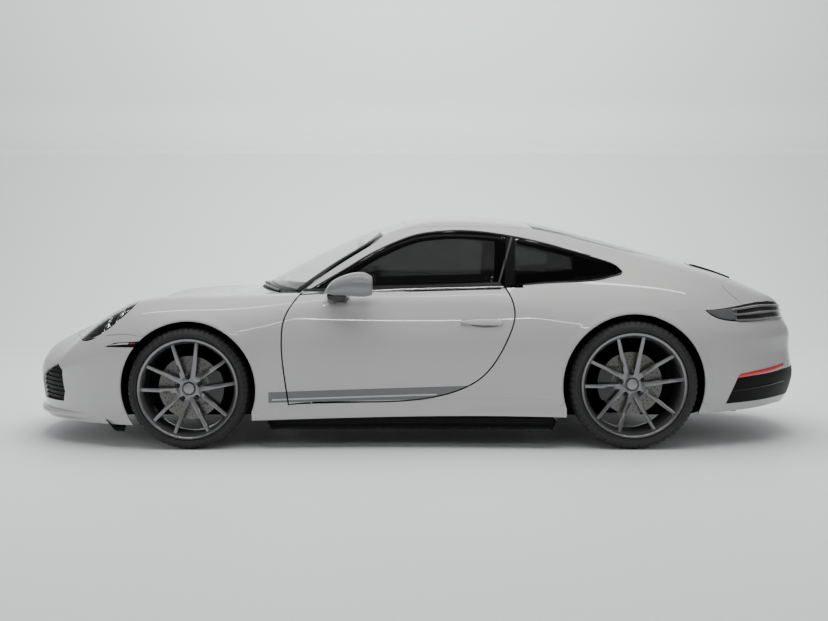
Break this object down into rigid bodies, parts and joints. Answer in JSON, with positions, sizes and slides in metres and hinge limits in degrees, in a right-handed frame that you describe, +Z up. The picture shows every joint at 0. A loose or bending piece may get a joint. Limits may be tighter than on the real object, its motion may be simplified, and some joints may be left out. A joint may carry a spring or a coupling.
{
  "type": "coupe car",
  "caption": "Rear-engined two-door sports coupe with opening doors, bonnet and engine lid, steered front wheels and four rolling wheels.",
  "frame": {"origin": "on the ground, midway along and across the car", "axes": "+X runs to the tail, +Z is up, and the car's left side is at -Y"},
  "size_m": [4.5295, 2.044, 1.2932],
  "materials": {
    "body_paint": "solid light grey paint with clear coat",
    "black_trim": "satin black plastic",
    "structure": "primer and underseal",
    "clear_glass": "clear",
    "dark_glass": "tinted",
    "lamp_clear": "clear moulding",
    "lamp_red": "smoked red moulding",
    "wheel_metal": "dark satin lacquer",
    "tyre": "rubber",
    "disc_iron": "machined faces",
    "caliper": "black",
    "cast_metal": "cast",
    "steel_pipe": "brushed",
    "leather": "black leather",
    "trim_soft": "grained soft moulding",
    "mirror_paint": "satin grey"
  },
  "bodies": {
    "chassis": {"front_wings": "body_paint", "front_bumper": "body_paint", "quarter_panels": "body_paint", "roof_rails": "body_paint", "sills": "body_paint", "roof": "body_paint", "windscreen": "clear_glass", "rear_window": "dark_glass", "rear_bumper": "body_paint", "rear_insert": "black_trim", "tail_lamp_bar": "lamp_red", "spoiler": "body_paint", "quarter_glass": "dark_glass", "pillar_covers": "black_trim", "headlamp_covers": "lamp_clear", "headlamp_cups": "black_trim", "cowl": "black_trim", "floor_pan": "structure", "scuttle": "structure", "front_frame": "structure", "rear_frame": "structure", "suspension_arms": "cast_metal", "rear_uprights": "cast_metal", "driveshafts": "steel_pipe", "engine_block": "cast_metal", "exhaust": "steel_pipe", "underbody": "black_trim", "arch_liners": "black_trim", "rear_bulkhead": "structure", "front_seats": "leather", "rear_seats": "leather", "dashboard": "trim_soft", "side_markers": "black_trim", "intake_grilles": "black_trim", "wipers": "black_trim", "inside_mirror": "black_trim"},
    "door_left": {"door_left": "body_paint", "door_glass_left": "dark_glass", "mirror_left": "mirror_paint"},
    "front_upright_left": {"front_upright_left": "cast_metal"},
    "front_wheel_left": {"front_tyre_left": "tyre", "front_rim_left": "wheel_metal", "front_disc_left": "disc_iron"},
    "rear_wheel_left": {"rear_tyre_left": "tyre", "rear_rim_left": "wheel_metal", "rear_disc_left": "disc_iron"},
    "door_right": {"door_right": "body_paint", "door_glass_right": "dark_glass", "mirror_right": "mirror_paint"},
    "front_upright_right": {"front_upright_right": "cast_metal"},
    "front_wheel_right": {"front_tyre_right": "tyre", "front_rim_right": "wheel_metal", "front_disc_right": "disc_iron"},
    "rear_wheel_right": {"rear_tyre_right": "tyre", "rear_rim_right": "wheel_metal", "rear_disc_right": "disc_iron"},
    "bonnet": {"bonnet": "body_paint"},
    "engine_lid": {"engine_lid": "black_trim"},
    "steering_wheel": {"steering_wheel": "leather"}
  },
  "joints": [
    {"name": "steer_left", "type": "hinge", "parent": "chassis", "child": "front_upright_left", "pos_m": [-1.2495, -0.735, 0.184], "axis": [0, 0.2578, 0.9662], "range_deg": [-35, 35]},
    {"name": "steer_right", "type": "hinge", "parent": "chassis", "child": "front_upright_right", "pos_m": [-1.2495, 0.735, 0.184], "axis": [0, -0.2578, 0.9662], "range_deg": [-35, 35]},
    {"name": "front_wheel_left_spin", "type": "hinge", "parent": "front_upright_left", "child": "front_wheel_left", "pos_m": [-1.2495, -0.79, 0.334], "axis": [0, 1, 0], "continuous": true},
    {"name": "rear_wheel_left_spin", "type": "hinge", "parent": "chassis", "child": "rear_wheel_left", "pos_m": [1.2005, -0.766, 0.354], "axis": [0, 1, 0], "continuous": true},
    {"name": "front_wheel_right_spin", "type": "hinge", "parent": "front_upright_right", "child": "front_wheel_right", "pos_m": [-1.2495, 0.79, 0.334], "axis": [0, 1, 0], "continuous": true},
    {"name": "rear_wheel_right_spin", "type": "hinge", "parent": "chassis", "child": "rear_wheel_right", "pos_m": [1.2005, 0.766, 0.354], "axis": [0, 1, 0], "continuous": true},
    {"name": "steering_wheel_turn", "type": "hinge", "parent": "chassis", "child": "steering_wheel", "pos_m": [-0.18, -0.37, 0.77], "axis": [0.9272, 0, 0.3746], "range_deg": [-490, 490]},
    {"name": "door_left_swing", "type": "hinge", "parent": "chassis", "child": "door_left", "pos_m": [-0.702, -0.874, 0.52], "axis": [0, 0, -1], "range_deg": [0, 65]},
    {"name": "door_right_swing", "type": "hinge", "parent": "chassis", "child": "door_right", "pos_m": [-0.702, 0.874, 0.52], "axis": [0, 0, 1], "range_deg": [0, 65]},
    {"name": "bonnet_lift", "type": "hinge", "parent": "chassis", "child": "bonnet", "pos_m": [-0.745, -0.62, 0.843], "axis": [0, 1, 0], "range_deg": [0, 60]},
    {"name": "engine_lid_lift", "type": "hinge", "parent": "chassis", "child": "engine_lid", "pos_m": [1.606, 0, 1.006], "axis": [0, -1, 0], "range_deg": [0, 55]}
  ],
  "couplings": [
    {"joint": "steer_right", "follows": "steer_left", "ratio": 1},
    {"joint": "steering_wheel_turn", "follows": "steer_left", "ratio": -14}
  ]
}
